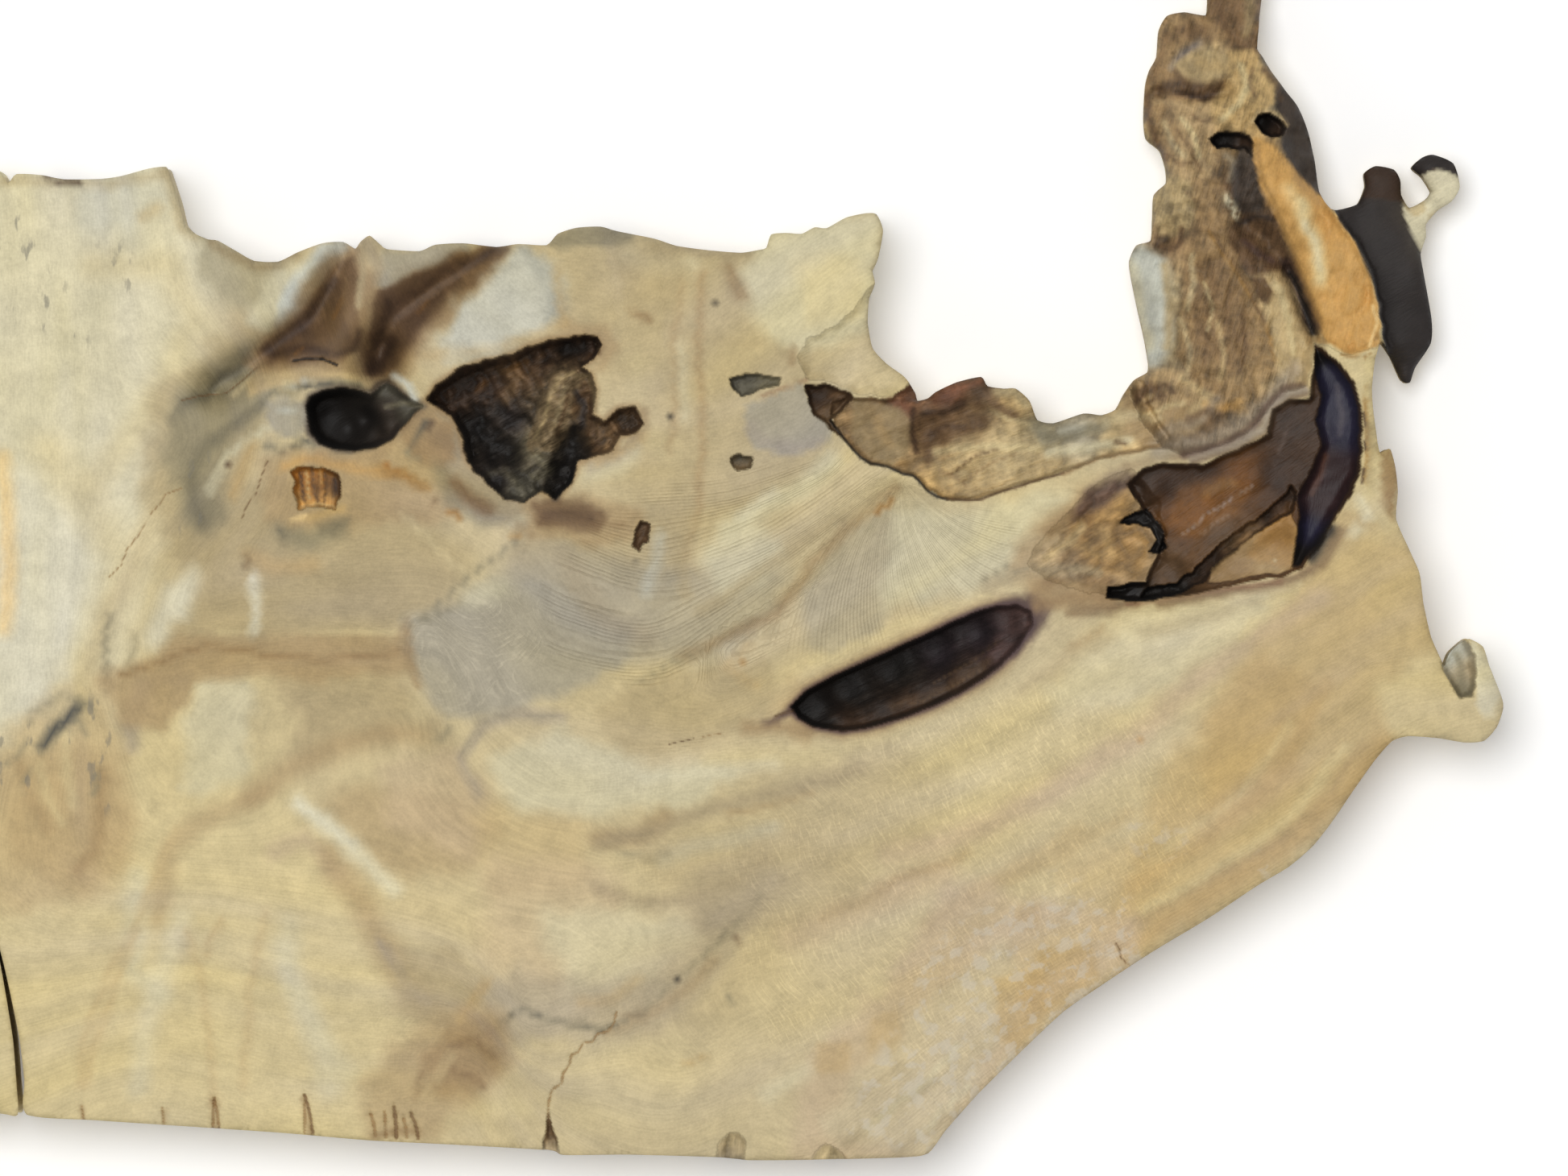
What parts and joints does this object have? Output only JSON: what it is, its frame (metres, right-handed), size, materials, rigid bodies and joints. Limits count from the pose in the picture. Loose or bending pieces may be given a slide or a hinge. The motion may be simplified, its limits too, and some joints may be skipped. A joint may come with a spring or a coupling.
{
  "type": "elderberry wood slice",
  "caption": "Flat slab of pale elder wood with sawn faces, weathered hollows, a worn slot and a gnarled natural arm beside an open bay.",
  "frame": {"origin": "centre of the slab's bounding box, on its sawn underside", "axes": "+X along the slab's longest extent, towards the hooked right end; +Y towards the gnarled arm's tip; +Z out of the sawn top"},
  "size_m": [0.3136, 0.2358, 0.028],
  "materials": {
    "elder_wood": "dry sawn elder wood, matt, with dark glossy hollows"
  },
  "bodies": {
    "root": {"wood_slice": "elder_wood"}
  },
  "joints": []
}
